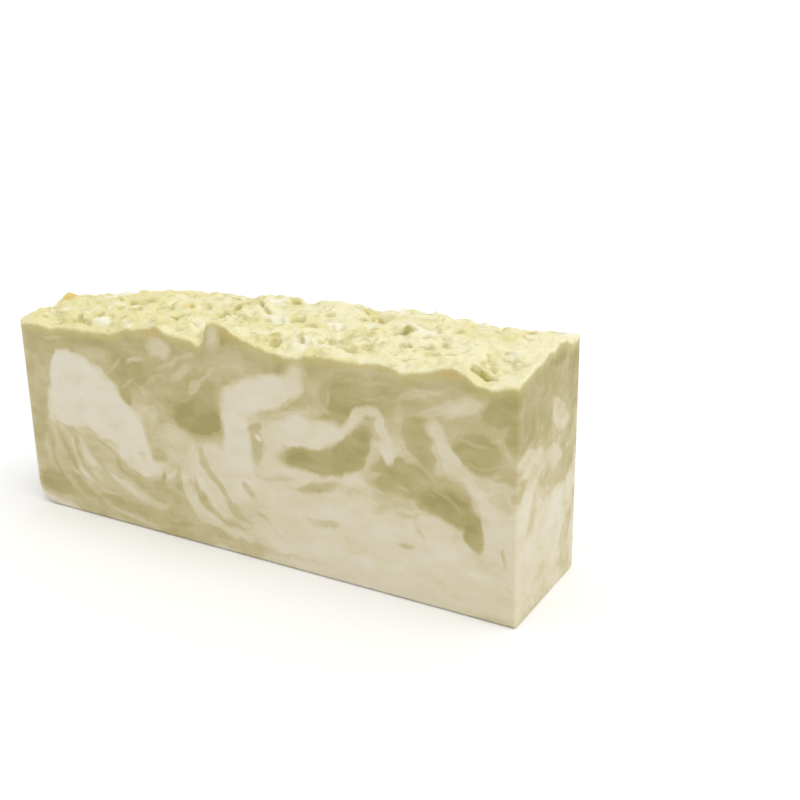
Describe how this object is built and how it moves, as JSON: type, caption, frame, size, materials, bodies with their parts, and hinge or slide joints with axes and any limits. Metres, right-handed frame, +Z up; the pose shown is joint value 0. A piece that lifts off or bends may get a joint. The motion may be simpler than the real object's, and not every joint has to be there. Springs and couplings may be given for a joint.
{
  "type": "soap loaf",
  "caption": "Uncut loaf of marbled cold-process soap with a crumbly broken top, rounded at the moulded end and cut square at the other.",
  "frame": {"origin": "middle of the resting face, at its bounding box's bottom centre", "axes": "+X along the loaf from the moulded end to the cut end, +Y from the front wall to the back wall, +Z up to the broken top"},
  "size_m": [0.234, 0.052, 0.0956],
  "materials": {
    "soap": "satin"
  },
  "bodies": {
    "root": {"soap_loaf": "soap"}
  },
  "joints": []
}
